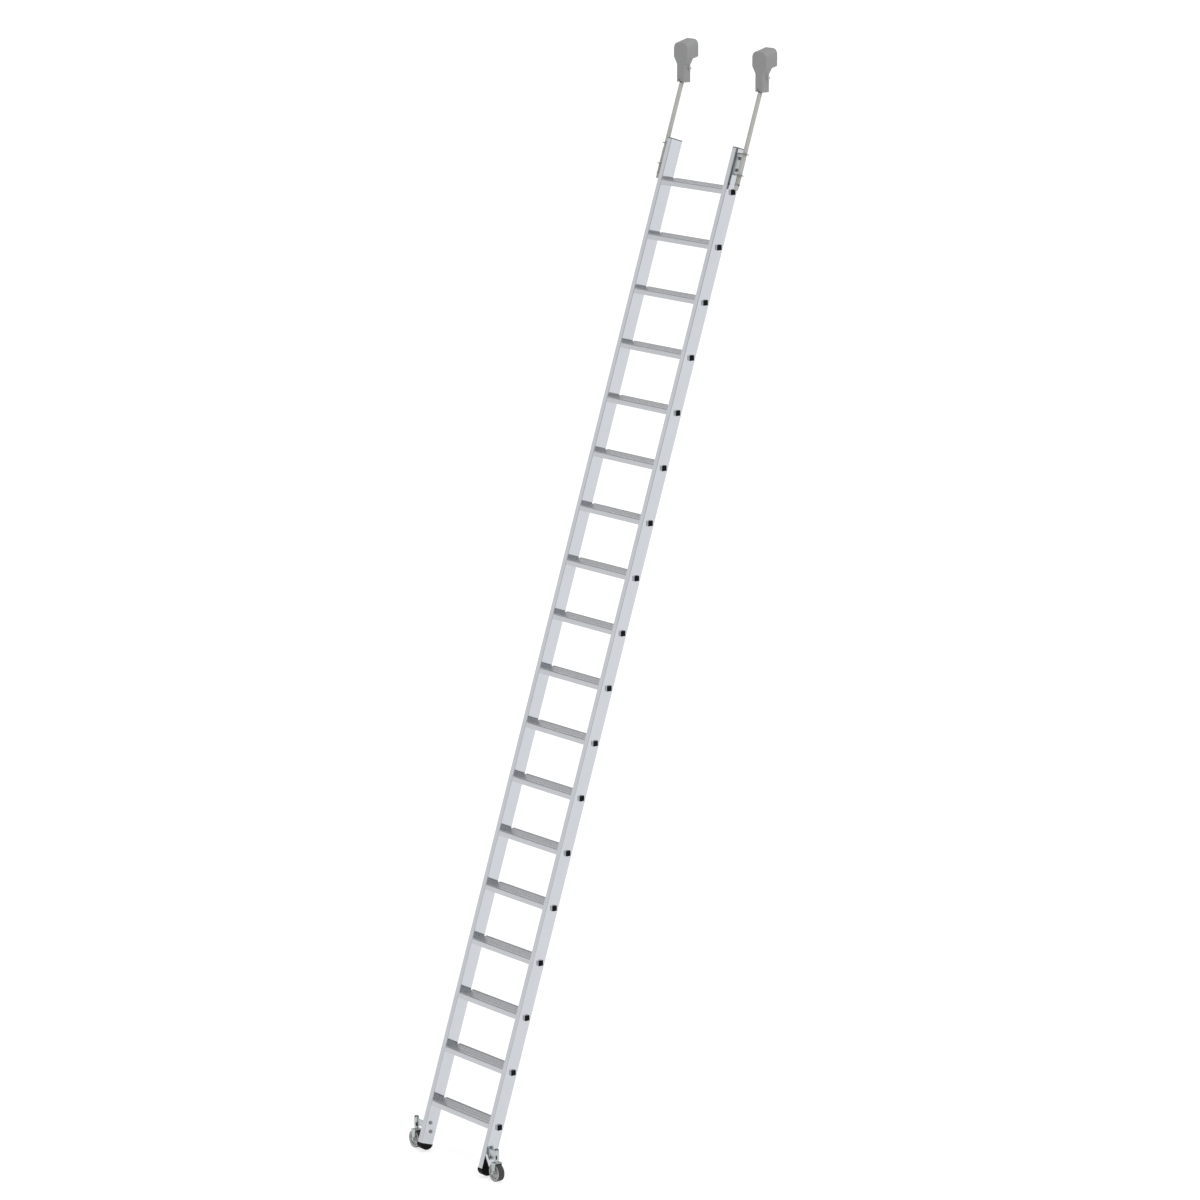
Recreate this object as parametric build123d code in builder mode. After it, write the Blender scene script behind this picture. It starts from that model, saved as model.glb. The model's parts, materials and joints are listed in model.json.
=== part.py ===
from build123d import *
import math
import os

os.makedirs("parts", exist_ok=True)

# Ladder as a whole, millimetres and degrees
lean_angle = 17.6            # stiles lean back from the vertical
step_count = 18
step_pitch = 250.0           # between treads, along the stile
outer_width = 490.0          # over the outer faces of the stiles
stile_end_height = 47.94     # front edge of the stiles' lower ends, above the floor
stile_end_forward = 37.66    # the same edge, ahead of the line of the wheels

# Stiles
stile_width = 28.0
stile_depth = 65.7
stile_wall = 2.2
stile_corner = 3.0
stile_bore_corner = 1.0
stile_bottom_run = 195.0     # below the first tread
stile_top_run = 190.0        # above the last tread
insert_clearance = 0.15      # shoes, caps and plugs inside their tubes

# Treads, measured from the stile front line at the height of each tread
tread_rise = 3.2
tread_rear = 83.0
tread_plate = 3.2
nose_setback = 1.5
nose_height = 22.7
nose_thickness = 3.0
nose_radius = 7.0
rear_lip_height = 9.0
rear_lip_thickness = 2.6
groove_start = 17.0
groove_end_margin = 6.0
groove_pitch = 11.0
groove_width = 4.5
groove_depth = 1.5
tube_size = 25.0
tube_wall = 2.0
tube_corner = 2.5
tube_setback = 35.8
tube_drop = 13.4
tube_overrun = 6.6           # past the outer face of each stile
tube_clearance = 0.15
plug_inset = 0.4             # flange inside the edge of the tube
plug_flange_corner = 2.4
plug_flange_thickness = 2.2
plug_shank_corner = 0.6
plug_shank_length = 12.0

# Stile caps
cap_thickness = 4.0
cap_edge = 1.2
cap_shank_length = 18.0

# Feet
foot_overhang = 0.65         # past the stile at the front and the rear
foot_drop = 28.5             # below the stile end
foot_shank_length = 30.0
fin_setback = 3.5
fin_height = 57.0
fin_base = 42.0
fin_thickness = 3.0

# Head brackets
ear_low = 75.0               # above the last tread
ear_spacing = 95.0
ear_thickness = 3.5
ear_depth = 26.0
ear_margin = 20.0            # past the axis of the rod
ear_corner = 8.0
bracket_web = 3.0
bracket_bolt_setback = 32.5
bracket_bolt_spacing = 53.0
bracket_bolt_length = 18.0
bracket_nut_dia = 11.0
bracket_nut_length = 12.0

# Bolts
bolt_dia = 8.0
bolt_hex = 13.0
bolt_head_height = 5.3
nut_height = 6.5
bolt_clearance = 0.3
nut_clearance = 0.05

# Hook rods
rod_offset = 34.2            # from the outer face of the stile
rod_setback = 28.0
rod_dia = 20.0
rod_bottom = 8.0             # above the last tread
rod_top_run = 12.0           # above the pivot
rod_chamfer = 1.2
rod_clearance = 0.06
pivot_height = 517.5         # above the last tread, along the rod
pivot_clearance = 0.06
collar_wall = 0.95
collar_clearance = 0.05
head_travel = 20.0
seat_gap = 0.2
pin_height = 29.0            # above the last tread, along the rod
pin_dia = 5.0
pin_length = 30.0
pin_clearance = 0.03
washer_width = 2.4
washer_thickness = 1.6
washer_clearance = 0.4
head_spring_wire = 1.6
head_spring_gap = 0.3        # between the coil and the rod
head_spring_turns = 7.5

# Heads
pivot_from_front = 29.5
pivot_above_neck = 63.6
neck_width = 54.0
pivot_from_rear = 6.5
neck_height = 78.6
taper_height = 32.5
hood_width = 100.0
hood_depth = 65.5
hood_slope = 16.2            # degrees, up to the rear
hood_underside = 116.2       # above the bottom of the neck, at the rear
head_height = 175.1          # above the bottom of the neck, at the front
hood_corner = 27.5
head_wall = 2.8
head_edge = 5.0
notch_width = 21.0
notch_gap = 0.6
pivot_boss_dia = 18.0
pivot_boss_gap = 0.3
pivot_fit = 0.1
pivot_thread_run = 6.0       # bolt past its nut
roller_wall_gap = 2.2
roller_gap = 4.0             # between the two rollers
roller_reach = 7.0           # below the rear of the hood
roller_edge = 1.5
roller_side_gap = 0.4
roller_clearance = 0.06
axle_boss_dia = 14.0
axle_boss_length = 6.8
axle_fit = 0.1
axle_end_gap = 0.3

# Castors
castor_offset = 61.0         # from the outer face of the stile
castor_travel = 10.0
wheel_dia = 80.0
wheel_width = 30.0
tyre_edge = 2.0
rim_dia = 74.0
rim_width = 28.0
rim_thickness = 6.0
tyre_clearance = 0.05
hub_dia = 22.0
hub_gap = 1.0
wheel_web = 12.0
wheel_clearance = 0.06
leg_clearance = 2.0          # between the wheel and each fork leg
leg_thickness = 2.5
leg_top_width = 30.0
leg_end_radius = 10.0
axle_hole_fit = 0.1
crown_gap = 2.5              # above the wheel
crown_thickness = 3.0
stem_dia = 17.0
stem_length = 26.5
sleeve_gap = 0.5             # above the crown at full travel
sleeve_length = 52.0
sleeve_wall = 3.0
sleeve_clearance = 0.08
sleeve_cap_thickness = 10.0
sleeve_crown = 8.0           # radius of its round top
slot_lift = 5.0              # above the lower end of the sleeve
slot_spare = 3.2             # above the pin at full travel
slot_turn = 50.0             # from the climber's side towards +X
guide_pin_dia = 5.5
guide_pin_gap = 0.3          # below the pin at rest
guide_pin_side_gap = 0.5
guide_pin_proud = 0.3
castor_spring_wire = 2.2
castor_spring_gap = 0.48     # between the coil and the sleeve
castor_spring_turns = 6.0
castor_sheet = 4.0
castor_plate_front = -4.1
castor_plate_rear = 25.5
castor_plate_drop = 6.5      # below the top of the sleeve
castor_plate_shoulder = 31.0   # below the top of the plate
castor_plate_height = 61.5
castor_plate_foot_width = 17.0
castor_arm_height = 30.5
castor_arm_drop = 12.7       # below the top of the sleeve
castor_bolt_y = 14.0
castor_bolt_drop = 15.5      # below the top of the sleeve
castor_bolt_spacing = 41.2
button_dia = 17.0
button_height = 4.5
button_edge = 2.0

sides = ((-1, "left"), (1, "right"))
lean = math.radians(lean_angle)
up = Vector(0, math.sin(lean), math.cos(lean))
back = Vector(0, math.cos(lean), -math.sin(lean))
base = Vector(0, -stile_end_forward, stile_end_height) + up * stile_bottom_run
outer_x = outer_width / 2
inner_x = outer_x - stile_width
stile_x = outer_x - stile_width / 2
rod_x = outer_x + rod_offset
castor_x = outer_x + castor_offset
last_step = (step_count - 1) * step_pitch
stile_top = last_step + stile_top_run
bore_width = stile_width - 2 * stile_wall - 2 * insert_clearance
bore_depth = stile_depth - 2 * stile_wall - 2 * insert_clearance


def stile_point(x, d, s):
    """Point x across, d behind the stile front and s up the stile from the first tread."""
    return base + Vector(x, 0, 0) + back * d + up * s


def cross_plane(s):
    """Plane square to the stiles: local x across, local y to the rear."""
    return Plane(origin=stile_point(0, 0, s), x_dir=(1, 0, 0), z_dir=up)


def side_plane(x):
    """Plane along the stiles: local x to the rear, local y up the stile."""
    return Plane(origin=stile_point(x, 0, 0), x_dir=back, z_dir=(1, 0, 0))


def tread_plane(x, index):
    """Upright plane at one tread: local x level to the rear, local y straight up."""
    return Plane(origin=stile_point(x, 0, index * step_pitch), x_dir=(0, 1, 0), z_dir=(1, 0, 0))


def coil_arcs(frame, mean_dia, wire_dia, length, turns):
    """Tangent arcs, two to each quarter turn, along a coil with a close turn at each end."""
    close_pitch = wire_dia * 1.3
    open_pitch = (length - wire_dia - 2 * close_pitch) / (turns - 2)
    steps = int(round(turns * 4))

    def height(turn):
        low = min(max(turn, 0), 1) * close_pitch
        middle = min(max(turn - 1, 0), turns - 2) * open_pitch
        high = min(max(turn - turns + 1, 0), 1) * close_pitch
        return wire_dia / 2 + low + middle + high

    def local(step):
        angle = step * math.pi / 2
        radius = mean_dia / 2
        return Vector(radius * math.cos(angle), radius * math.sin(angle), height(step / 4))

    def heading(step):
        angle = step * math.pi / 2
        before = max(step - 1, 0)
        after = min(step + 1, steps)
        rise = (height(after / 4) - height(before / 4)) / ((after - before) * math.pi / 2)
        radius = mean_dia / 2
        return Vector(-radius * math.sin(angle), radius * math.cos(angle), rise).normalized()

    arcs = []
    for step in range(steps):
        start, end = local(step), local(step + 1)
        first, last = heading(step), heading(step + 1)
        chord = end - start
        spread = 2 * (1 - first.dot(last))
        along = chord.dot(first + last)
        reach = (math.sqrt(along * along + spread * chord.dot(chord)) - along) / spread
        middle = (start + first * reach + end - last * reach) * 0.5
        across = (end - last * reach) - (start + first * reach)
        for begin, finish, direction in ((start, middle, first), (middle, end, across)):
            world_begin = frame.from_local_coords(begin)
            world_finish = frame.from_local_coords(finish)
            arcs.append((world_begin, world_finish, to_world(frame, direction)))
    points = [local(step / 8) for step in range(steps * 8 + 1)]
    gaps = []
    for index, point in enumerate(points):
        for other in points[index + 20:]:
            gaps.append((other - point).length - wire_dia)
    print("coil of", wire_dia, "mm wire: least gap to itself", round(min(gaps), 2), "mm")
    return arcs


def to_world(frame, direction):
    """Direction given in the axes of a plane, in the axes of the whole ladder."""
    turned = frame.x_dir * direction.X + frame.y_dir * direction.Y + frame.z_dir * direction.Z
    return turned.normalized()


def save(builder, name):
    """Label one piece and write its file."""
    builder.part.label = name
    export_step(builder.part, f"parts/{name}.step")


tube_points = []
for index in range(step_count):
    level = stile_point(0, 0, index * step_pitch)
    tube_points.append((level.Y + tube_setback, level.Z - tube_drop))
crown_top = wheel_dia + crown_gap + crown_thickness
sleeve_bottom = crown_top + castor_travel + sleeve_gap
sleeve_top = sleeve_bottom + sleeve_length
castor_bolt_high = sleeve_top - castor_bolt_drop
castor_bolt_points = [
    (castor_bolt_y, castor_bolt_high),
    (castor_bolt_y, castor_bolt_high - castor_bolt_spacing),
]
bracket_middle = last_step + ear_low + ear_spacing / 2
bracket_bolt_points = [
    (bracket_bolt_setback, bracket_middle - bracket_bolt_spacing / 2),
    (bracket_bolt_setback, bracket_middle + bracket_bolt_spacing / 2),
]

# Stiles: box sections with openings for the tread tubes and the bolts
for side, hand in sides:
    with BuildPart() as stile:
        with BuildSketch(cross_plane(-stile_bottom_run)):
            with Locations((side * stile_x, stile_depth / 2)):
                RectangleRounded(stile_width, stile_depth, stile_corner)
                RectangleRounded(
                    stile_width - 2 * stile_wall,
                    stile_depth - 2 * stile_wall,
                    stile_bore_corner,
                    mode=Mode.SUBTRACT,
                )
        extrude(amount=stile_bottom_run + stile_top)
        with BuildSketch(Plane.YZ.offset(side * stile_x - stile_width)):
            with Locations(*tube_points):
                RectangleRounded(
                    tube_size + 2 * tube_clearance,
                    tube_size + 2 * tube_clearance,
                    tube_corner + tube_clearance,
                )
            with Locations(*castor_bolt_points):
                Circle(bolt_dia / 2 + bolt_clearance)
        extrude(amount=2 * stile_width, mode=Mode.SUBTRACT)
        with BuildSketch(side_plane(side * stile_x)):
            with Locations(*bracket_bolt_points):
                Circle(bolt_dia / 2 + bolt_clearance)
        extrude(amount=side * stile_width, mode=Mode.SUBTRACT)
    save(stile, f"stile_{hand}")

# Treads: ribbed plate with a nose, a rear lip and a square tube through both stiles
nose_top_y = tread_rise * math.tan(lean) + nose_setback / math.cos(lean)
nose_low_y = nose_top_y - nose_height * math.tan(lean)
plate_low = tread_rise - tread_plate
tube_top = tube_size / 2 - tube_drop
groove_run = tread_rear - groove_end_margin - groove_start
groove_count = int(groove_run / groove_pitch) + 1
groove_points = [(groove_start + number * groove_pitch, tread_rise) for number in range(groove_count)]
for index in range(step_count):
    with BuildPart() as tread:
        with BuildSketch(tread_plane(-inner_x, index)) as tread_profile:
            with BuildLine():
                Polyline(
                    (nose_top_y, tread_rise),
                    (tread_rear, tread_rise),
                    (tread_rear, tread_rise - rear_lip_height),
                    (tread_rear - rear_lip_thickness, tread_rise - rear_lip_height),
                    (tread_rear - rear_lip_thickness, plate_low),
                    (nose_top_y + nose_thickness - tread_plate * math.tan(lean), plate_low),
                    (nose_low_y + nose_thickness, tread_rise - nose_height),
                    (nose_low_y, tread_rise - nose_height),
                    close=True,
                )
            make_face()
            fillet(tread_profile.vertices().group_by(Axis.Y)[-1].sort_by(Axis.X)[0], nose_radius)
            with Locations((tube_setback, (plate_low + tube_top - tube_size) / 2)):
                Rectangle(tube_size, plate_low - tube_top + tube_size)
            with Locations((tube_setback, -tube_drop)):
                Rectangle(tube_size - 2 * tube_wall, tube_size - 2 * tube_wall, mode=Mode.SUBTRACT)
        extrude(amount=2 * inner_x)
        with BuildSketch(tread_plane(-outer_x - tube_overrun, index)):
            with Locations((tube_setback, -tube_drop)):
                RectangleRounded(tube_size, tube_size, tube_corner)
                Rectangle(tube_size - 2 * tube_wall, tube_size - 2 * tube_wall, mode=Mode.SUBTRACT)
        extrude(amount=2 * (outer_x + tube_overrun))
        with BuildSketch(tread_plane(-inner_x, index)):
            with Locations(*groove_points):
                Rectangle(groove_width, 2 * groove_depth)
        extrude(amount=2 * inner_x, mode=Mode.SUBTRACT)
    save(tread, f"tread_{index + 1:02d}")

# Plugs in the ends of the tread tubes
plug_flange = tube_size - 2 * plug_inset
plug_shank = tube_size - 2 * tube_wall - 2 * insert_clearance
with BuildPart() as tread_plugs:
    for side, hand in sides:
        with BuildSketch(Plane.YZ.offset(side * (outer_x + tube_overrun))):
            with Locations(*tube_points):
                RectangleRounded(plug_flange, plug_flange, plug_flange_corner)
        extrude(amount=side * plug_flange_thickness)
        with BuildSketch(Plane.YZ.offset(side * (outer_x + tube_overrun))):
            with Locations(*tube_points):
                RectangleRounded(plug_shank, plug_shank, plug_shank_corner)
        extrude(amount=-side * plug_shank_length)
save(tread_plugs, "tread_plugs")

# Caps on the top ends of the stiles
with BuildPart() as stile_caps:
    for side, hand in sides:
        with BuildSketch(cross_plane(stile_top)):
            with Locations((side * stile_x, stile_depth / 2)):
                RectangleRounded(stile_width, stile_depth, stile_corner)
        extrude(amount=cap_thickness)
        with BuildSketch(cross_plane(stile_top)):
            with Locations((side * stile_x, stile_depth / 2)):
                RectangleRounded(bore_width, bore_depth, stile_bore_corner)
        extrude(amount=-cap_shank_length)
    cap_tops = stile_caps.faces().filter_by(lambda face: face.normal_at().dot(up) > 0.99)
    chamfer(cap_tops.group_by(Axis.Z)[-1].edges(), cap_edge)
save(stile_caps, "stile_caps")

# Feet: half-oval shoes with a fin on the outer face
foot_reach = stile_depth / 2 + foot_overhang
for side, hand in sides:
    with BuildPart() as foot:
        with BuildSketch(side_plane(side * inner_x)):
            with Locations((stile_depth / 2, -stile_bottom_run)):
                Ellipse(foot_reach, foot_drop)
            with Locations((stile_depth / 2, -stile_bottom_run - foot_drop)):
                Rectangle(4 * foot_reach, 2 * foot_drop, mode=Mode.INTERSECT)
        extrude(amount=side * (stile_width + fin_thickness))
        with BuildSketch(side_plane(side * outer_x)):
            with BuildLine():
                Polyline(
                    (fin_setback, -stile_bottom_run),
                    (fin_setback, fin_height - stile_bottom_run),
                    (fin_setback + fin_base, -stile_bottom_run),
                    close=True,
                )
            make_face()
        extrude(amount=side * fin_thickness)
        with BuildSketch(cross_plane(-stile_bottom_run)):
            with Locations((side * stile_x, stile_depth / 2)):
                RectangleRounded(bore_width, bore_depth, stile_bore_corner)
        extrude(amount=foot_shank_length)
    save(foot, f"foot_{hand}")

# Head brackets: a web with two ears that carry the rod
ear_reach = rod_offset + ear_margin
for side, hand in sides:
    with BuildPart() as head_bracket:
        with BuildSketch(side_plane(side * outer_x)):
            with Locations((rod_setback, bracket_middle)):
                Rectangle(ear_depth, ear_spacing + ear_thickness)
        extrude(amount=side * bracket_web)
        for ear in (ear_low, ear_low + ear_spacing):
            with BuildSketch(cross_plane(last_step + ear - ear_thickness / 2)) as ear_profile:
                with Locations((side * (outer_x + ear_reach / 2), rod_setback)):
                    Rectangle(ear_reach, ear_depth)
                fillet(ear_profile.vertices().sort_by(Axis.X, reverse=side > 0)[:2], ear_corner)
            extrude(amount=ear_thickness)
        with BuildSketch(cross_plane(last_step + ear_low - ear_thickness)):
            with Locations((side * rod_x, rod_setback)):
                Circle(rod_dia / 2 + rod_clearance)
        extrude(amount=ear_spacing + 2 * ear_thickness, mode=Mode.SUBTRACT)
        with BuildSketch(side_plane(side * outer_x)):
            with Locations(*bracket_bolt_points):
                Circle(bolt_dia / 2 + bolt_clearance)
        extrude(amount=side * bracket_web, mode=Mode.SUBTRACT)
    save(head_bracket, f"head_bracket_{hand}")

# Bolts that hold the head brackets to the stiles, with blind nuts behind the stile wall
bracket_bolt_seat = outer_x + bracket_web
with BuildPart() as bracket_bolts:
    for side, hand in sides:
        with BuildSketch(side_plane(side * bracket_bolt_seat)):
            with Locations(*bracket_bolt_points):
                RegularPolygon(bolt_hex / 2, 6, major_radius=False)
        extrude(amount=side * bolt_head_height)
        with BuildSketch(side_plane(side * bracket_bolt_seat)):
            with Locations(*bracket_bolt_points):
                Circle(bolt_dia / 2)
        extrude(amount=-side * bracket_bolt_length)
save(bracket_bolts, "bracket_bolts")

with BuildPart() as bracket_nuts:
    for side, hand in sides:
        with BuildSketch(side_plane(side * (outer_x - stile_wall))):
            with Locations(*bracket_bolt_points):
                Circle(bracket_nut_dia / 2)
                Circle(bolt_dia / 2 + nut_clearance, mode=Mode.SUBTRACT)
        extrude(amount=-side * bracket_nut_length)
save(bracket_nuts, "bracket_nuts")

# Hook rods with their collars, cross pins and springs
pivot_s = last_step + pivot_height
pin_s = last_step + pin_height
ear_top_face = last_step + ear_low + ear_thickness / 2
collar_dia = rod_dia + 2 * collar_clearance + 2 * collar_wall
collar_length = ear_spacing - ear_thickness - head_travel - 2 * seat_gap
washer_s = pin_s + pin_dia / 2
washer_bore = rod_dia / 2 + washer_clearance
spring_s = washer_s + washer_thickness + seat_gap
head_spring_dia = rod_dia + 2 * head_spring_gap + head_spring_wire
head_spring_length = last_step + ear_low - ear_thickness / 2 - seat_gap - spring_s
for side, hand in sides:
    with BuildPart() as hook_rod:
        with BuildSketch(cross_plane(last_step + rod_bottom)):
            with Locations((side * rod_x, rod_setback)):
                Circle(rod_dia / 2)
        extrude(amount=pivot_height + rod_top_run - rod_bottom)
        chamfer(hook_rod.faces().filter_by(GeomType.PLANE).edges(), rod_chamfer)
        with BuildSketch(side_plane(side * rod_x - rod_dia)):
            with Locations((rod_setback, pivot_s)):
                Circle(bolt_dia / 2 + pivot_clearance)
            with Locations((rod_setback, pin_s)):
                Circle(pin_dia / 2 + pin_clearance)
        extrude(amount=2 * rod_dia, mode=Mode.SUBTRACT)
    save(hook_rod, f"hook_rod_{hand}")

    with BuildPart() as rod_collar:
        with BuildSketch(cross_plane(ear_top_face + seat_gap)):
            with Locations((side * rod_x, rod_setback)):
                Circle(collar_dia / 2)
                Circle(rod_dia / 2 + collar_clearance, mode=Mode.SUBTRACT)
        extrude(amount=collar_length)
    save(rod_collar, f"rod_collar_{hand}")

    with BuildPart() as rod_pin:
        with BuildSketch(side_plane(side * rod_x - pin_length / 2)):
            with Locations((rod_setback, pin_s)):
                Circle(pin_dia / 2)
        extrude(amount=pin_length)
        with BuildSketch(cross_plane(washer_s + pin_clearance)):
            with Locations((side * rod_x, rod_setback)):
                Circle(washer_bore + washer_width)
                Circle(washer_bore, mode=Mode.SUBTRACT)
        extrude(amount=washer_thickness)
    save(rod_pin, f"rod_pin_{hand}")

    head_coil = coil_arcs(
        Plane(origin=stile_point(side * rod_x, rod_setback, spring_s), x_dir=(1, 0, 0), z_dir=up),
        head_spring_dia,
        head_spring_wire,
        head_spring_length,
        head_spring_turns,
    )
    with BuildPart() as head_spring:
        with BuildLine():
            for start, end, direction in head_coil:
                TangentArc(start, end, tangent=direction)
        with BuildSketch(Plane(origin=head_coil[0][0], z_dir=head_coil[0][2])):
            Circle(head_spring_wire / 2)
        sweep()
    save(head_spring, f"head_spring_{hand}")

# Heads: a neck that turns on the rod and a hood over two rollers
pivot = stile_point(0, rod_setback, pivot_s)
head_front = pivot.Y - pivot_from_front
neck_bottom = pivot.Z - pivot_above_neck
neck_depth = pivot_from_front + pivot_from_rear
slope = math.radians(hood_slope)
hood_direction = (0, math.cos(slope), math.sin(slope))
underside_low = hood_underside - (hood_depth - neck_depth) * math.tan(slope)
hood_cavity = hood_depth - 2 * head_wall
roof_start = neck_height + taper_height
rod_front = pivot_from_front - head_wall - rod_dia / 2 / math.cos(lean) - notch_gap
notch_height = pivot_above_neck - rod_front / math.tan(lean)
roller_dia = (hood_width - 2 * head_wall - 2 * roller_wall_gap - roller_gap) / 2
roller_spacing = roller_dia + roller_gap
roller_width = hood_depth - 2 * (head_wall + axle_boss_length + roller_side_gap)
axle_height = hood_underside - roller_reach + roller_dia / 2
axle_points = [(-roller_spacing / 2, axle_height), (roller_spacing / 2, axle_height)]
boss_length = (neck_width - rod_dia) / 2 - pivot_boss_gap
with BuildSketch() as head_outline:
    with BuildLine():
        Polyline(
            (-neck_width / 2, 0),
            (neck_width / 2, 0),
            (neck_width / 2, neck_height),
            (hood_width / 2, neck_height + taper_height),
            (hood_width / 2, head_height),
            (-hood_width / 2, head_height),
            (-hood_width / 2, neck_height + taper_height),
            (-neck_width / 2, neck_height),
            close=True,
        )
    make_face()
    fillet(head_outline.vertices().group_by(Axis.Y)[-1], hood_corner)


def head_plane(x, depth):
    """Upright plane across a head, depth behind its front: local x across, local y up."""
    return Plane(origin=(x, head_front + depth, neck_bottom), x_dir=(1, 0, 0), z_dir=(0, -1, 0))


for side, hand in sides:
    head_x = side * rod_x
    pivot_plane = Plane(origin=(head_x, pivot.Y, pivot.Z), x_dir=(0, 1, 0), z_dir=(1, 0, 0))
    underside_plane = Plane(
        origin=(head_x - hood_width, head_front, neck_bottom), x_dir=(0, 1, 0), z_dir=(1, 0, 0)
    )
    with BuildPart() as head_housing:
        with BuildSketch(head_plane(head_x, 0)):
            add(head_outline.sketch)
        extrude(amount=-neck_depth)
        with BuildSketch(head_plane(head_x, 0)):
            add(head_outline.sketch)
            with Locations((0, underside_low + head_height)):
                Rectangle(2 * hood_width, 2 * head_height, mode=Mode.INTERSECT)
        extrude(amount=-hood_depth)
        with BuildSketch(head_plane(head_x, 0)):
            add(head_outline.sketch)
            with Locations((0, roof_start + head_height)):
                Rectangle(2 * hood_width, 2 * head_height, mode=Mode.INTERSECT)
        extrude(amount=hood_depth / math.cos(slope), dir=hood_direction)
        with BuildSketch(underside_plane):
            with BuildLine():
                Polyline(
                    (neck_depth, underside_low),
                    (hood_depth, underside_low),
                    (hood_depth, hood_underside),
                    close=True,
                )
            make_face()
        extrude(amount=2 * hood_width, mode=Mode.SUBTRACT)
        fillet(head_housing.faces().sort_by(Axis.Y)[0].edges(), head_edge)
        fillet(head_housing.faces().sort_by(Axis.Y)[-1].edges(), head_edge)
        with BuildSketch(head_plane(head_x, head_wall)):
            add(head_outline.sketch)
            offset(amount=-head_wall, mode=Mode.REPLACE)
            Rectangle(neck_width - 2 * head_wall, 4 * head_wall)
        extrude(amount=-hood_cavity, mode=Mode.SUBTRACT)
        with BuildSketch(head_plane(head_x, head_wall)):
            add(head_outline.sketch)
            offset(amount=-head_wall, mode=Mode.REPLACE)
            with Locations((0, roof_start + head_height)):
                Rectangle(2 * hood_width, 2 * head_height, mode=Mode.INTERSECT)
        extrude(amount=hood_cavity / math.cos(slope), dir=hood_direction, mode=Mode.SUBTRACT)
        with BuildSketch(head_plane(head_x, 0)):
            Rectangle(notch_width, 2 * notch_height)
        extrude(amount=-2 * head_wall, mode=Mode.SUBTRACT)
        for turn in (-1, 1):
            with BuildSketch(pivot_plane.offset(turn * (rod_dia / 2 + pivot_boss_gap))):
                Circle(pivot_boss_dia / 2)
                with Locations((neck_depth - pivot_from_front - pivot_boss_dia, 0)):
                    Rectangle(2 * pivot_boss_dia, 2 * pivot_boss_dia, mode=Mode.INTERSECT)
            extrude(amount=turn * boss_length)
        with BuildSketch(pivot_plane.offset(-neck_width)):
            Circle(bolt_dia / 2 + pivot_fit)
        extrude(amount=2 * neck_width, mode=Mode.SUBTRACT)
        with BuildSketch(head_plane(head_x, head_wall)):
            with Locations(*axle_points):
                Circle(axle_boss_dia / 2)
        extrude(amount=-axle_boss_length)
        with BuildSketch(head_plane(head_x, hood_depth - head_wall)):
            with Locations(*axle_points):
                Circle(axle_boss_dia / 2)
        extrude(amount=axle_boss_length)
        with BuildSketch(head_plane(head_x, head_wall)):
            with Locations(*axle_points):
                Circle(bolt_dia / 2 + axle_fit)
        extrude(amount=-hood_depth, mode=Mode.SUBTRACT)
    save(head_housing, f"head_housing_{hand}")

    with BuildPart() as roller_axles:
        with BuildSketch(head_plane(head_x, hood_depth)):
            with Locations(*axle_points):
                RegularPolygon(bolt_hex / 2, 6, major_radius=False)
        extrude(amount=-bolt_head_height)
        with BuildSketch(head_plane(head_x, hood_depth)):
            with Locations(*axle_points):
                Circle(bolt_dia / 2)
        extrude(amount=hood_depth - head_wall - axle_end_gap)
    save(roller_axles, f"roller_axles_{hand}")

    with BuildPart() as pivot_bolt:
        with BuildSketch(pivot_plane.offset(-neck_width / 2)):
            RegularPolygon(bolt_hex / 2, 6, major_radius=False)
        extrude(amount=-bolt_head_height)
        with BuildSketch(pivot_plane.offset(-neck_width / 2)):
            Circle(bolt_dia / 2)
        extrude(amount=neck_width + nut_height + pivot_thread_run)
        with BuildSketch(pivot_plane.offset(neck_width / 2)):
            RegularPolygon(bolt_hex / 2, 6, major_radius=False)
            Circle(bolt_dia / 2 + nut_clearance, mode=Mode.SUBTRACT)
        extrude(amount=nut_height)
    save(pivot_bolt, f"pivot_bolt_{hand}")

    for number, point in enumerate(axle_points):
        with BuildPart() as roller:
            with BuildSketch(head_plane(head_x, (hood_depth - roller_width) / 2)):
                with Locations(point):
                    Circle(roller_dia / 2)
            extrude(amount=-roller_width)
            chamfer(roller.faces().filter_by(GeomType.PLANE).edges(), roller_edge)
            with BuildSketch(head_plane(head_x, 0)):
                with Locations(point):
                    Circle(bolt_dia / 2 + roller_clearance)
            extrude(amount=-hood_depth, mode=Mode.SUBTRACT)
        save(roller, f"roller_{hand}_{number + 1}")

# Castor brackets: a bent sheet on the stile with a sleeve on its arm
sleeve_bore = stem_dia / 2 + sleeve_clearance
sleeve_dia = 2 * (sleeve_bore + sleeve_wall)
slot_bottom = sleeve_bottom + slot_lift
slot_height = guide_pin_gap + guide_pin_dia + castor_travel + slot_spare
slot_width = guide_pin_dia + 2 * guide_pin_side_gap
castor_plate_top = sleeve_top - castor_plate_drop
castor_plate_low = castor_plate_top - castor_plate_height
castor_plate_bend = castor_plate_top - castor_plate_shoulder
castor_arm_middle = sleeve_top - castor_arm_drop - castor_arm_height / 2
sleeve_cap_bottom = sleeve_top - sleeve_cap_thickness
slot_direction = Vector(math.sin(math.radians(slot_turn)), -math.cos(math.radians(slot_turn)), 0)


def slot_plane(x, z):
    """Upright plane through a castor's axis that faces along its slot."""
    return Plane(origin=(x, 0, z), x_dir=(0, 0, 1), z_dir=slot_direction)


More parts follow.
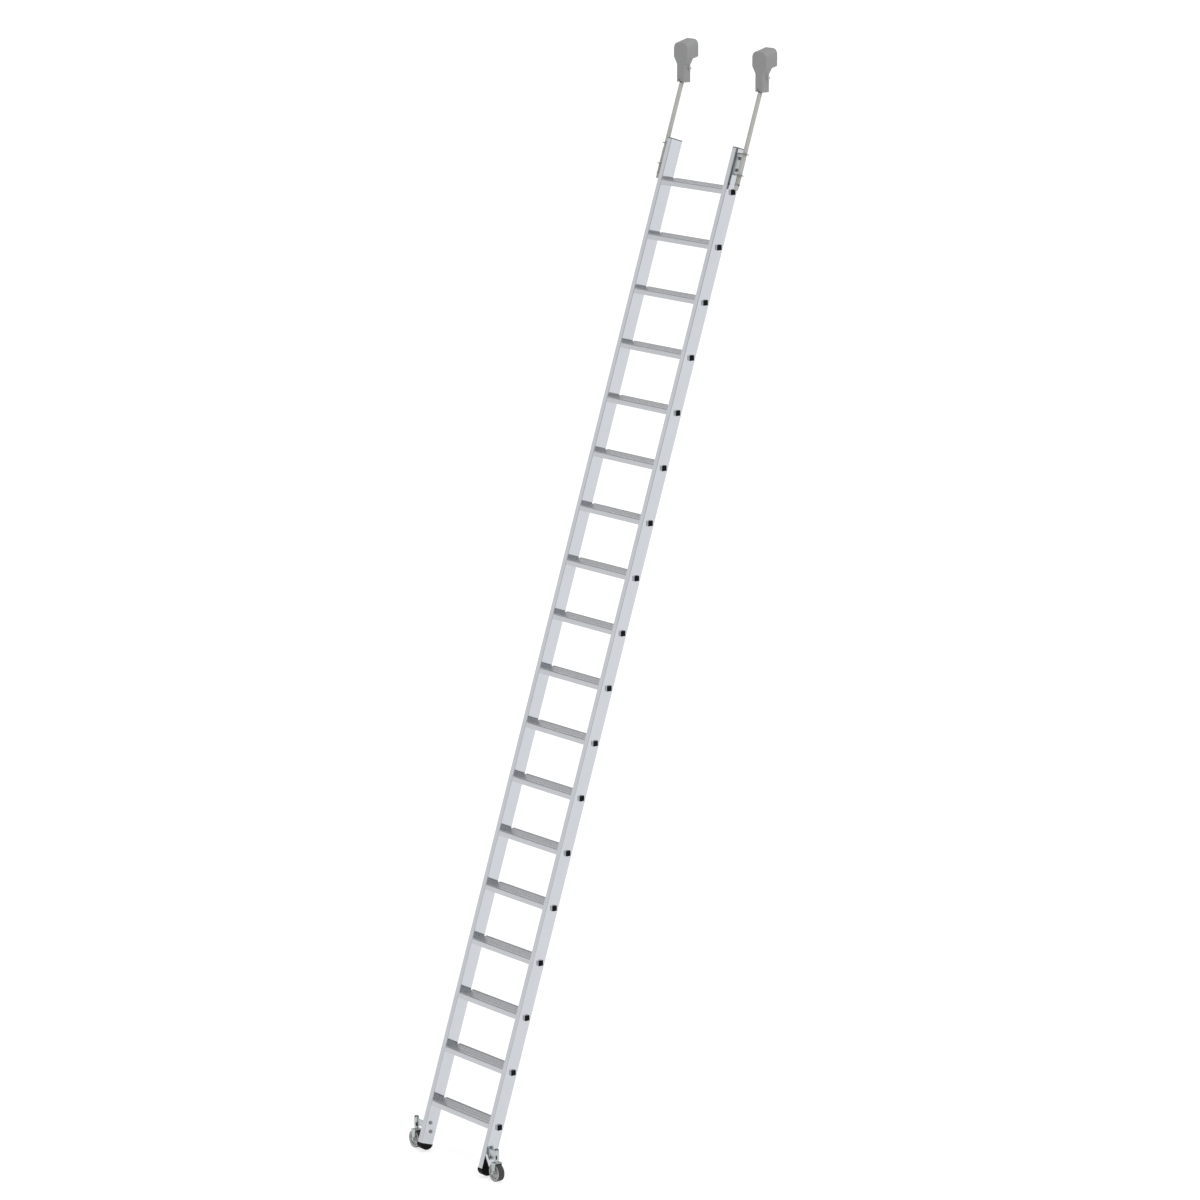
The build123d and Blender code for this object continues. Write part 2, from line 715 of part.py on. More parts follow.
for side, hand in sides:
    sleeve_x = side * castor_x
    with BuildPart() as castor_bracket:
        with BuildSketch(Plane.YZ.offset(side * outer_x)):
            with BuildLine():
                Polyline(
                    (castor_plate_front, castor_plate_top),
                    (castor_plate_rear, castor_plate_top),
                    (castor_plate_rear, castor_plate_bend),
                    (castor_bolt_y + castor_plate_foot_width / 2, castor_plate_low),
                    (castor_bolt_y - castor_plate_foot_width / 2, castor_plate_low),
                    (castor_plate_front, castor_plate_bend),
                    close=True,
                )
            make_face()
            with Locations(*castor_bolt_points):
                Circle(bolt_dia / 2 + bolt_clearance, mode=Mode.SUBTRACT)
        extrude(amount=side * castor_sheet)
        with BuildSketch(Plane(origin=(0, castor_sheet / 2, 0), x_dir=(1, 0, 0), z_dir=(0, -1, 0))):
            with Locations((side * (outer_x + castor_offset / 2), castor_arm_middle)):
                Rectangle(castor_offset, castor_arm_height)
        extrude(amount=castor_sheet)
        with BuildSketch(Plane.XY.offset(sleeve_bottom)):
            with Locations((sleeve_x, 0)):
                Circle(sleeve_dia / 2)
        extrude(amount=sleeve_top - sleeve_bottom)
        sleeve_rim = castor_bracket.edges().filter_by(GeomType.CIRCLE).sort_by(Axis.Z)[-1]
        fillet(sleeve_rim, sleeve_crown)
        with BuildSketch(Plane.XY.offset(sleeve_bottom)):
            with Locations((sleeve_x, 0)):
                Circle(sleeve_bore)
        extrude(amount=sleeve_cap_bottom - sleeve_bottom, mode=Mode.SUBTRACT)
        with BuildSketch(slot_plane(sleeve_x, slot_bottom + slot_height / 2)):
            SlotOverall(slot_height, slot_width)
        extrude(amount=sleeve_dia, mode=Mode.SUBTRACT)
    save(castor_bracket, f"castor_bracket_{hand}")

# Bolts through the stiles that hold the castor brackets
with BuildPart() as castor_bracket_bolts:
    for side, hand in sides:
        bolt_seat = side * (outer_x + castor_sheet)
        with BuildSketch(Plane.YZ.offset(side * inner_x)):
            with Locations(*castor_bolt_points):
                Circle(button_dia / 2)
        extrude(amount=-side * button_height)
        with BuildSketch(Plane.YZ.offset(side * inner_x)):
            with Locations(*castor_bolt_points):
                Circle(bolt_dia / 2)
        extrude(amount=side * (stile_width + castor_sheet + nut_height))
        with BuildSketch(Plane.YZ.offset(bolt_seat)):
            with Locations(*castor_bolt_points):
                RegularPolygon(bolt_hex / 2, 6, major_radius=False)
                Circle(bolt_dia / 2 + nut_clearance, mode=Mode.SUBTRACT)
        extrude(amount=side * nut_height)
    button_rims = castor_bracket_bolts.edges().filter_by(GeomType.CIRCLE)
    button_rims = button_rims.filter_by(lambda edge: abs(edge.radius - button_dia / 2) < 0.01)
    button_rims = button_rims.filter_by(lambda edge: abs(edge.center().X) < inner_x - button_height / 2)
    fillet(button_rims, button_edge)
save(castor_bracket_bolts, "castor_bracket_bolts")

# Castors: a fork whose stem slides in the sleeve against a spring, and a wheel
wheel_radius = wheel_dia / 2
leg_gap = wheel_width + 2 * leg_clearance
fork_width = leg_gap + 2 * leg_thickness
stem_top = crown_top + stem_length
guide_pin_reach = sleeve_dia / 2 + guide_pin_proud
guide_pin_z = slot_bottom + guide_pin_gap + guide_pin_dia / 2
castor_spring_length = sleeve_cap_bottom - stem_top - 2 * seat_gap
castor_spring_dia = 2 * (sleeve_bore - castor_spring_gap) - castor_spring_wire
for side, hand in sides:
    sleeve_x = side * castor_x
    with BuildPart() as castor_fork:
        with BuildSketch(Plane.XY.offset(crown_top - crown_thickness)):
            with Locations((sleeve_x, 0)):
                Rectangle(leg_top_width, fork_width)
        extrude(amount=crown_thickness)
        for face in (-fork_width / 2, leg_gap / 2):
            leg_plane = Plane(origin=(sleeve_x, face, wheel_radius), x_dir=(1, 0, 0), z_dir=(0, -1, 0))
            with BuildSketch(leg_plane):
                with BuildLine():
                    Polyline(
                        (-leg_top_width / 2, crown_top - wheel_radius),
                        (leg_top_width / 2, crown_top - wheel_radius),
                        (leg_end_radius, 0),
                        (-leg_end_radius, 0),
                        close=True,
                    )
                make_face()
                Circle(leg_end_radius)
                Circle(bolt_dia / 2 + axle_hole_fit, mode=Mode.SUBTRACT)
            extrude(amount=-leg_thickness)
        with BuildSketch(Plane.XY.offset(crown_top)):
            with Locations((sleeve_x, 0)):
                Circle(stem_dia / 2)
        extrude(amount=stem_length)
        with BuildSketch(slot_plane(sleeve_x, guide_pin_z)):
            Circle(guide_pin_dia / 2)
        extrude(amount=guide_pin_reach)
    save(castor_fork, f"castor_fork_{hand}")

    castor_coil = coil_arcs(
        Plane(origin=(sleeve_x, 0, stem_top + seat_gap), x_dir=(1, 0, 0), z_dir=(0, 0, 1)),
        castor_spring_dia,
        castor_spring_wire,
        castor_spring_length,
        castor_spring_turns,
    )
    with BuildPart() as castor_spring:
        with BuildLine():
            for start, end, direction in castor_coil:
                TangentArc(start, end, tangent=direction)
        with BuildSketch(Plane(origin=castor_coil[0][0], z_dir=castor_coil[0][2])):
            Circle(castor_spring_wire / 2)
        sweep()
    save(castor_spring, f"castor_spring_{hand}")

    wheel_plane = Plane(origin=(sleeve_x, 0, wheel_radius), x_dir=(0, 1, 0), z_dir=(1, 0, 0))
    wheel_axis = Axis((sleeve_x, 0, wheel_radius), (0, 1, 0))
    wheel_bore = bolt_dia / 2 + wheel_clearance
    rim_radius = rim_dia / 2
    with BuildPart() as castor_rim:
        with BuildSketch(wheel_plane):
            with Locations((0, (wheel_bore + hub_dia / 2) / 2)):
                Rectangle(leg_gap - 2 * hub_gap, hub_dia / 2 - wheel_bore)
            with Locations((0, (wheel_bore + rim_radius) / 2)):
                Rectangle(wheel_web, rim_radius - wheel_bore)
            with Locations((0, rim_radius - rim_thickness / 2)):
                Rectangle(rim_width, rim_thickness)
        revolve(axis=wheel_axis)
    save(castor_rim, f"castor_rim_{hand}")

    with BuildPart() as castor_tyre:
        with BuildSketch(wheel_plane) as tyre_profile:
            with Locations((0, (rim_radius + tyre_clearance + wheel_radius) / 2)):
                Rectangle(wheel_width, wheel_radius - rim_radius - tyre_clearance)
            fillet(tyre_profile.vertices().group_by(Axis.Y)[-1], tyre_edge)
        revolve(axis=wheel_axis)
    save(castor_tyre, f"castor_tyre_{hand}")

    fork_front = Plane(
        origin=(sleeve_x, -fork_width / 2, wheel_radius), x_dir=(1, 0, 0), z_dir=(0, -1, 0)
    )
    with BuildPart() as castor_axle:
        with BuildSketch(fork_front):
            RegularPolygon(bolt_hex / 2, 6, major_radius=False)
        extrude(amount=bolt_head_height)
        with BuildSketch(fork_front):
            Circle(bolt_dia / 2)
        extrude(amount=-(fork_width + nut_height))
        with BuildSketch(fork_front.offset(-fork_width)):
            RegularPolygon(bolt_hex / 2, 6, major_radius=False)
            Circle(bolt_dia / 2 + nut_clearance, mode=Mode.SUBTRACT)
        extrude(amount=-nut_height)
    save(castor_axle, f"castor_axle_{hand}")
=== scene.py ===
import json
import math
from collections import namedtuple

import bpy
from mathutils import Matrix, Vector


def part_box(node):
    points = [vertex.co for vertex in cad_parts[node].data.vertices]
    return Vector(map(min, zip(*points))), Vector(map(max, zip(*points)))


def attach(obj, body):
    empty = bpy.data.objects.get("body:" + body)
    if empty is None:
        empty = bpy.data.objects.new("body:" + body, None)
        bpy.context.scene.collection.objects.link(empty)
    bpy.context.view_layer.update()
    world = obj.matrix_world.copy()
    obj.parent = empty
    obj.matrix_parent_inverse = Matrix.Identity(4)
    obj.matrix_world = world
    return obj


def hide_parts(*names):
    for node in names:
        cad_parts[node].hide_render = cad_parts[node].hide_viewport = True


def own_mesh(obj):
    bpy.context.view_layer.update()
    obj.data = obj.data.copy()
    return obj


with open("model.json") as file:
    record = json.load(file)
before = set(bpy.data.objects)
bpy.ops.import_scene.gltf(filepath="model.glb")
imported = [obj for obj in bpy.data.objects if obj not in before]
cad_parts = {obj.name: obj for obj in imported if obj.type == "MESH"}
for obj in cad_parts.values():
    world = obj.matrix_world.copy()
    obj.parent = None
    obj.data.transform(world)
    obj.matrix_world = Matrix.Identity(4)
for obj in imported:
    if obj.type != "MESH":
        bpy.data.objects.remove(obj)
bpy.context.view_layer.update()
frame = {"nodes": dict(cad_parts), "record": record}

SIDES = ("left", "right")
UP = Vector((0.0, 0.0, 1.0))

# Camera, from the edges of the stiles and treads in the photograph
IMAGE_SIDE = 1200.0
FOCAL_PIXELS = 4977.6
CENTRE_SHIFT = (24.7, 49.5)
SENSOR_WIDTH = 36.0
CAMERA_AZIMUTH = 53.11
CAMERA_ELEVATION = 12.18
CAMERA_DISTANCE = 22.111
CAMERA_REACH = 400.0
LOOK_AT = Vector((0.0, 0.6635, 2.2594))

# Lean of the stiles, which their drawn grain and the rods follow
LEAN = math.radians(17.6)
STILE_UP = Vector((0.0, math.sin(LEAN), math.cos(LEAN)))
UP_THE_STILE = (-LEAN, 0.0, 0.0)

# Treads: a groove starts just under the ribs, and the top side ends just under the grooves
TREAD_COUNT = 18
GROOVE_PITCH = 0.011
GROOVE_DEPTH = 0.0015
GROOVE_START = GROOVE_DEPTH * 0.15
TOP_SIDE_DEPTH = GROOVE_DEPTH * 1.4
# Painted shade: a dark band along the rear edge of each tread's top, and its fade
REAR_SHADE_BAND = 0.016
REAR_SHADE_FADE = 0.0032

# Sheets of the brackets, and the bend where the head bracket's web turns into its ears
BRACKET_WEB = 0.003
BRACKET_BEND = 0.0009
CASTOR_SHEET = 0.004

# Springs: the pitch of the close end turns is in wires
HEAD_SPRING_WIRE = 0.0016
HEAD_SPRING_TURNS = 7.5
CASTOR_SPRING_WIRE = 0.0022
CASTOR_SPRING_TURNS = 6.0
CLOSE_PITCH = 1.3
RINGS_PER_TURN = 48
WIRE_SIDES = 16

# Painted shade: castor stems are dark where they run in their sleeves, and rods where they enter the necks
STEM_SHADE_HEIGHT = 0.0975
ROD_SHADE_DROP = 0.0005
ROD_SHADE_RISE = 0.004
SHADE_FADE = 0.005
SHADE_WOBBLE = 0.002

# Painted shade on the castor brackets, from the top of the sleeve down
SLEEVE_TOP_SHADE = 0.004
SLEEVE_TOP_SHADE_FADE = 0.004

# Floor, with its two tones and the strength of its glow
FLOOR_HALF = 150.0
FLOOR_TONES = ((0.35, 0.35, 0.35), (0.36, 0.36, 0.36))
FLOOR_GLOW = 0.71

# Colours that several finishes or functions use
WHITE = (1.0, 1.0, 1.0, 1.0)
ZINC = (0.37, 0.40, 0.404)
FORK_ZINC = (0.44, 0.477, 0.48)
# Dark and pale tones of the painted shade on the castor stems and the rod tops
DARK_SHADE = (0.03, 0.033, 0.034)
PALE_SHADE = (0.07, 0.075, 0.077)

# Coats of steel: the usual span of their roughness, and their crystals in each metre
SATIN = (0.3, 0.45)
ZINC_CRYSTALS = 260.0
STEEL_CRYSTALS = 500.0

# Spans that shading values run over, where FLAT_FACES holds cosines of a face's turn
RISING = (0.0, 1.0)
FALLING = (1.0, 0.0)
MIDDLE_TONES = (0.35, 0.65)
FLAT_FACES = (0.75, 0.98)

# Numbers of the mix node's colour sockets, as its sockets for other data have the same names
MIX_COLOURS = (6, 7)
MIX_RESULT = 2

# A material, its node tree, the shader in it and the socket that gives the shader its colour
Finish = namedtuple("Finish", "material tree shader colour")


def new_material(name):
    """Material with an empty node tree that ends in one shader."""
    material = bpy.data.materials.new(name)
    material.use_nodes = True
    tree = material.node_tree
    tree.nodes.clear()
    output = tree.nodes.new("ShaderNodeOutputMaterial")
    shader = tree.nodes.new("ShaderNodeBsdfPrincipled")
    tree.links.new(shader.outputs["BSDF"], output.inputs["Surface"])
    return material, tree, shader


def place(tree, density=(1, 1, 1), turn=(0, 0, 0)):
    """Texture coordinates fixed to the piece, turned and made denser along each axis."""
    where = tree.nodes.new("ShaderNodeTexCoord")
    mapping = tree.nodes.new("ShaderNodeMapping")
    mapping.vector_type = "TEXTURE"
    mapping.inputs["Rotation"].default_value = turn
    mapping.inputs["Scale"].default_value = [1 / value for value in density]
    tree.links.new(where.outputs["Object"], mapping.inputs["Vector"])
    return mapping.outputs["Vector"]


def coordinates(tree, output):
    """The X, Y and Z of one kind of texture coordinates, by name."""
    where = tree.nodes.new("ShaderNodeTexCoord")
    split = tree.nodes.new("ShaderNodeSeparateXYZ")
    tree.links.new(where.outputs[output], split.inputs["Vector"])
    return split.outputs


def noise(tree, vector, scale, detail=3.0, roughness=0.55):
    """Noise from 0 to 1 along the given coordinates."""
    node = tree.nodes.new("ShaderNodeTexNoise")
    node.inputs["Scale"].default_value = scale
    node.inputs["Detail"].default_value = detail
    node.inputs["Roughness"].default_value = roughness
    tree.links.new(vector, node.inputs["Vector"])
    return node.outputs["Fac"]


def spread(tree, value, source, target):
    """Value that runs over the source span, stretched to run over the target span."""
    node = tree.nodes.new("ShaderNodeMapRange")
    for socket, number in zip(("From Min", "From Max", "To Min", "To Max"), (*source, *target)):
        node.inputs[socket].default_value = number
    tree.links.new(value, node.inputs["Value"])
    return node.outputs["Result"]


def combine(tree, operation, first, second=0.0):
    """One operation on one or two values, each a number or a socket."""
    node = tree.nodes.new("ShaderNodeMath")
    node.operation = operation
    for socket, value in zip(node.inputs, (first, second)):
        if isinstance(value, (int, float)):
            socket.default_value = value
        else:
            tree.links.new(value, socket)
    return node.outputs["Value"]


def weigh(tree, first, second, share):
    """Sum of two values, of which the first has the given share."""
    first_part = combine(tree, "MULTIPLY", first, share)
    second_part = combine(tree, "MULTIPLY", second, 1 - share)
    return combine(tree, "ADD", first_part, second_part)


def blend_colour(tree, factor, first, second):
    """Colour that runs from first to second with the factor."""
    node = tree.nodes.new("ShaderNodeMix")
    node.data_type = "RGBA"
    tree.links.new(factor, node.inputs["Factor"])
    for number, colour in zip(MIX_COLOURS, (first, second)):
        if isinstance(colour, tuple):
            node.inputs[number].default_value = (*colour, 1.0)
        else:
            tree.links.new(colour, node.inputs[number])
    return node.outputs[MIX_RESULT]


def rounded_normal(tree, radius):
    """Normal that turns softly over the piece's edges."""
    bevel = tree.nodes.new("ShaderNodeBevel")
    bevel.samples = 4
    bevel.inputs["Radius"].default_value = radius
    return bevel.outputs["Normal"]


def edge_mask(tree, radius):
    """One along the piece's edges and zero on its flat faces."""
    geometry = tree.nodes.new("ShaderNodeNewGeometry")
    dot = tree.nodes.new("ShaderNodeVectorMath")
    dot.operation = "DOT_PRODUCT"
    tree.links.new(rounded_normal(tree, radius), dot.inputs[0])
    tree.links.new(geometry.outputs["Normal"], dot.inputs[1])
    return spread(tree, dot.outputs["Value"], FLAT_FACES, FALLING)


def relief(tree, shader, height, strength, distance, edge):
    """Fine relief on the shader, with edges softened by the given radius."""
    node = tree.nodes.new("ShaderNodeBump")
    node.inputs["Strength"].default_value = strength
    node.inputs["Distance"].default_value = distance
    tree.links.new(height, node.inputs["Height"])
    if edge > 0:
        tree.links.new(rounded_normal(tree, edge), node.inputs["Normal"])
    tree.links.new(node.outputs["Normal"], shader.inputs["Normal"])


def scaled(colour, factor):
    """Colour made lighter or darker."""
    return tuple(channel * factor for channel in colour)


def tones(colour, contrast):
    """A darker and a brighter tone of the colour."""
    return scaled(colour, 1 - contrast), scaled(colour, 1 + contrast)


def painted(finish, mask, colour):
    """The given finish with another colour where the mask is one."""
    coat = blend_colour(finish.tree, mask, finish.colour, colour)
    finish.tree.links.new(coat, finish.shader.inputs["Base Color"])
    return finish._replace(colour=coat)


def drawn_metal(
    name, colour, rough, density, contrast,
    turn=(0, 0, 0), metallic=1.0, gloss=0.5, edge_tint=1.0, edge=0.0008,
):
    """Metal drawn along one direction: fine lines and faint cloudy handling marks."""
    material, tree, shader = new_material(name)
    shader.inputs["Metallic"].default_value = metallic
    shader.inputs["Specular IOR Level"].default_value = gloss
    shader.inputs["Specular Tint"].default_value = (edge_tint, edge_tint, edge_tint, 1.0)
    grain = noise(tree, place(tree, density, turn), scale=1.0, detail=4.0, roughness=0.65)
    cloud = noise(tree, place(tree), scale=6.0)
    tone = weigh(tree, grain, cloud, share=0.55)
    tone_span = (0.36, 0.64)
    body = blend_colour(tree, spread(tree, tone, tone_span, RISING), *tones(colour, contrast))
    tree.links.new(body, shader.inputs["Base Color"])
    tree.links.new(spread(tree, tone, tone_span, rough), shader.inputs["Roughness"])
    relief(tree, shader, grain, strength=0.05, distance=0.0001, edge=edge)
    return Finish(material, tree, shader, body)


def plated_steel(name, colour, rough, crystals, edge=0.0007, edge_tone=1.35, edge_share=0.5):
    """Plated or blackened steel: soft patches of slightly different tone, and rubbed edges or edges
    darkened as painted shade.
    """
    material, tree, shader = new_material(name)
    shader.inputs["Metallic"].default_value = 1.0
    patches = tree.nodes.new("ShaderNodeTexVoronoi")
    patches.inputs["Scale"].default_value = crystals
    tree.links.new(place(tree), patches.inputs["Vector"])
    specks_per_crystal = 2.5
    speck = noise(tree, place(tree), crystals * specks_per_crystal, detail=4.0)
    cloud = noise(tree, place(tree), scale=35.0)
    patch_share = 0.4
    cloud_share = 0.35
    patch_part = combine(tree, "MULTIPLY", patches.outputs["Distance"], patch_share)
    cloud_part = combine(tree, "MULTIPLY", combine(tree, "ADD", speck, cloud), cloud_share)
    tone = combine(tree, "ADD", patch_part, cloud_part)
    tone_span = (0.35, 0.75)
    body = blend_colour(tree, spread(tree, tone, tone_span, RISING), *tones(colour, contrast=0.14))
    # Along the edges: rubbed lighter where edge_tone is above one, painted shade where it is below one
    along_edges = combine(tree, "MULTIPLY", edge_mask(tree, edge), edge_share)
    edged = blend_colour(tree, along_edges, body, scaled(colour, edge_tone))
    tree.links.new(edged, shader.inputs["Base Color"])
    tree.links.new(spread(tree, tone, tone_span, rough), shader.inputs["Roughness"])
    relief(tree, shader, speck, strength=0.12, distance=0.0002, edge=0.0007)
    return Finish(material, tree, shader, edged)


def moulded_plastic(name, colour, rough, grain_scale, gloss, contrast=0.1, grain_depth=0.25):
    """Moulded plastic or rubber with a fine grain, faint flow marks and rubbed edges."""
    material, tree, shader = new_material(name)
    shader.inputs["Specular IOR Level"].default_value = gloss
    grain = noise(tree, place(tree), grain_scale, detail=2.0, roughness=0.5)
    flow = noise(tree, place(tree), scale=22.0, detail=4.0, roughness=0.6)
    tone = weigh(tree, grain, flow, share=0.4)
    body = blend_colour(tree, spread(tree, tone, MIDDLE_TONES, RISING), *tones(colour, contrast))
    rubbed_share = 0.4
    rubbed_tone = 1.5
    rubbed = combine(tree, "MULTIPLY", edge_mask(tree, radius=0.0012), rubbed_share)
    edged = blend_colour(tree, rubbed, body, scaled(colour, rubbed_tone))
    tree.links.new(edged, shader.inputs["Base Color"])
    flow_span = (0.3, 0.7)
    tree.links.new(spread(tree, flow, flow_span, rough), shader.inputs["Roughness"])
    relief(tree, shader, grain, grain_depth, distance=0.0003, edge=0.001)
    return Finish(material, tree, shader, edged)


def tread_places(tree):
    """Height over the top of the nearest tread, and distance in front of that tread's rear edge."""
    first_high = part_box("tread_01")[1]
    last_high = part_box(f"tread_{TREAD_COUNT:02d}")[1]
    rise = (last_high.z - first_high.z) / (TREAD_COUNT - 1)
    position = coordinates(tree, "Object")
    above = combine(tree, "ADD", combine(tree, "SUBTRACT", position["Z"], first_high.z), rise / 2)
    height = combine(tree, "SUBTRACT", combine(tree, "FLOORED_MODULO", above, rise), rise / 2)
    level = combine(tree, "SUBTRACT", combine(tree, "SUBTRACT", position["Z"], height), first_high.z)
    set_back = combine(tree, "MULTIPLY", level, math.tan(LEAN))
    from_rear = combine(tree, "SUBTRACT", first_high.y, combine(tree, "SUBTRACT", position["Y"], set_back))
    return height, from_rear


def tread_metal(name, nose, top):
    """Extruded tread: bright nose and tubes, and a duller top with painted shade in its grooves, darker in
    every other groove, and a band of painted shade along the rear edge.
    """
    # Tones of the painted shade in the grooves and along the rear edge
    light_groove_shade_tone = 0.85
    deep_groove_shade_tone = 0.5
    rear_shade_tone = 0.42
    rear_shade_share = 0.85
    finish = drawn_metal(name, nose, rough=(0.25, 0.3), density=(5, 450, 450), contrast=0.02, edge=0.0)
    tree = finish.tree
    height, from_rear = tread_places(tree)
    worn = noise(tree, place(tree, density=(6, 60, 60)), scale=1.0, detail=4.0, roughness=0.6)
    dull = blend_colour(tree, spread(tree, worn, MIDDLE_TONES, RISING), *tones(top, contrast=0.02))
    # Painted shade in the grooves of the top, darker in every other groove
    in_pair = combine(tree, "FLOORED_MODULO", from_rear, 2 * GROOVE_PITCH)
    off_centre = combine(tree, "ABSOLUTE", combine(tree, "SUBTRACT", in_pair, GROOVE_PITCH))
    deep_shade_groove = combine(tree, "LESS_THAN", off_centre, GROOVE_PITCH / 2)
    groove_shade = blend_colour(tree, deep_shade_groove, scaled(top, light_groove_shade_tone), scaled(top, deep_groove_shade_tone))
    on_top_side = combine(tree, "GREATER_THAN", height, -TOP_SIDE_DEPTH)
    under_ribs = combine(tree, "LESS_THAN", height, -GROOVE_START)
    lined = blend_colour(tree, combine(tree, "MULTIPLY", on_top_side, under_ribs), dull, groove_shade)
    # Painted shade: a dark band along the rear edge of the top
    rear_shade = spread(tree, from_rear, (REAR_SHADE_BAND - REAR_SHADE_FADE, REAR_SHADE_BAND), (rear_shade_share, 0.0))
    rear_shaded = blend_colour(tree, rear_shade, lined, scaled(top, rear_shade_tone))
    facing_up = spread(tree, coordinates(tree, "Normal")["Z"], FLAT_FACES, RISING)
    return painted(finish, combine(tree, "MULTIPLY", facing_up, on_top_side), rear_shaded)


def rod_metal(name):
    """Dull plated rod, drawn along its length."""
    return drawn_metal(
        name, colour=(0.4, 0.396, 0.378), rough=(0.45, 0.55), density=(300, 300, 12), contrast=0.06,
        turn=UP_THE_STILE, metallic=0.2, gloss=0.15, edge_tint=0.1)


def bracket_metal(name, web, ears):
    """Zinc coat with painted shade on the ears, which are darker than the web."""
    finish = plated_steel(name, web, SATIN, ZINC_CRYSTALS)
    tree = finish.tree
    web_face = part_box("stile_right")[1].x + BRACKET_WEB
    from_middle = combine(tree, "ABSOLUTE", coordinates(tree, "Object")["X"])
    # Painted shade: the ears get the darker colour, beyond the bend of the web
    return painted(finish, spread(tree, from_middle, (web_face, web_face + BRACKET_BEND), RISING), ears)


def sleeve_metal(name, colour):
    """Zinc coat with painted shade along its edges, on the sleeve's round top and on the plate's front
    edge.
    """
    shade_share = 0.8
    shade_tone = 0.16
    # Painted shade along the edges: dark edges in place of rubbed ones
    finish = plated_steel(
        name, colour, rough=(0.2, 0.3), crystals=ZINC_CRYSTALS, edge=0.0024, edge_tone=0.2, edge_share=0.85)
    tree = finish.tree
    position = coordinates(tree, "Object")
    # Painted shade on the sleeve's round top, around its dark open hole
    shade_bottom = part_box("castor_bracket_right")[1].z - SLEEVE_TOP_SHADE
    top_shade_span = (shade_bottom - SLEEVE_TOP_SHADE_FADE, shade_bottom)
    on_top = spread(tree, position["Z"], top_shade_span, (0.0, shade_share))
    # Painted shade on the front edge of the plate against the stile
    front_faces = (-0.95, -0.8)
    facing_front = spread(tree, coordinates(tree, "Normal")["Y"], front_faces, (shade_share, 0.0))
    plate_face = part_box("stile_right")[1].x + CASTOR_SHEET
    on_plate = combine(tree, "LESS_THAN", combine(tree, "ABSOLUTE", position["X"]), plate_face)
    on_front = combine(tree, "MULTIPLY", facing_front, on_plate)
    return painted(finish, combine(tree, "MAXIMUM", on_top, on_front), scaled(colour, shade_tone))


def shade_band(finish, bottom, top):
    """The given finish with painted shade, a dark band between two heights, where one piece runs into
    another.
    """
    tree = finish.tree
    wobble = combine(tree, "MULTIPLY", noise(tree, place(tree), scale=300.0), SHADE_WOBBLE)
    level = combine(tree, "ADD", coordinates(tree, "Object")["Z"], wobble)
    above = combine(tree, "GREATER_THAN", level, bottom)
    below = spread(tree, level, (top, top + SHADE_FADE), FALLING)
    # Painted shade: dark tones in the band between the two heights, with a wobbly edge
    shade_colour = blend_colour(tree, noise(tree, place(tree), scale=500.0), DARK_SHADE, PALE_SHADE)
    return painted(finish, combine(tree, "MULTIPLY", above, below), shade_colour)


def fork_with_stem_shade():
    """Zinc coat of the castor forks, with painted shade on their stems."""
    stem_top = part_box("castor_fork_left")[1].z
    coat = plated_steel("zinc_stem_shade", FORK_ZINC, SATIN, ZINC_CRYSTALS)
    return shade_band(coat, STEM_SHADE_HEIGHT, stem_top)


def rod_with_top_shade():
    """Dull rod with painted shade where it enters the neck of its head."""
    neck_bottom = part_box("head_housing_left")[0].z
    return shade_band(rod_metal("rod_with_top_shade"), neck_bottom - ROD_SHADE_DROP, neck_bottom + ROD_SHADE_RISE)


# Finishes of the material slots
finishes = {
    "stile_aluminium": drawn_metal(
        "stile_aluminium", colour=(0.565, 0.587, 0.622), rough=(0.06, 0.1), density=(500, 500, 4),
        contrast=0.02, turn=UP_THE_STILE),
    "tread_aluminium": tread_metal("tread_aluminium", nose=(0.575, 0.59, 0.62), top=(0.59, 0.602, 0.622)),
    "rod_steel": rod_metal("rod_steel"),
    "bright_steel": plated_steel(
        "bright_steel", colour=(0.42, 0.44, 0.445), rough=(0.25, 0.4), crystals=STEEL_CRYSTALS),
    "dark_steel": plated_steel(
        "dark_steel", colour=(0.12, 0.13, 0.135), rough=SATIN, crystals=STEEL_CRYSTALS),
    "spring_steel": plated_steel(
        "spring_steel", colour=(0.39, 0.38, 0.36), rough=(0.25, 0.38), crystals=700.0),
    "black_plastic": moulded_plastic(
        "black_plastic", colour=(0.0035, 0.0036, 0.0038), rough=(0.45, 0.62), grain_scale=900.0,
        gloss=0.08),
    "cap_plastic": moulded_plastic(
        "cap_plastic", colour=(0.036, 0.036, 0.038), rough=(0.45, 0.6), grain_scale=900.0, gloss=0.3),
    "grey_plastic": moulded_plastic(
        "grey_plastic", colour=(0.24, 0.241, 0.242), rough=(0.45, 0.6), grain_scale=650.0, gloss=0.4,
        contrast=0.06),
    "nylon": moulded_plastic(
        "nylon", colour=(0.66, 0.65, 0.61), rough=(0.35, 0.5), grain_scale=700.0, gloss=0.5,
        contrast=0.05, grain_depth=0.12),
    "rim_plastic": moulded_plastic(
        "rim_plastic", colour=(0.40, 0.402, 0.40), rough=(0.4, 0.55), grain_scale=800.0, gloss=0.4,
        contrast=0.06, grain_depth=0.15),
    "tyre_rubber": moulded_plastic(
        "tyre_rubber", colour=(0.044, 0.044, 0.045), rough=(0.6, 0.78), grain_scale=700.0, gloss=0.25),
}

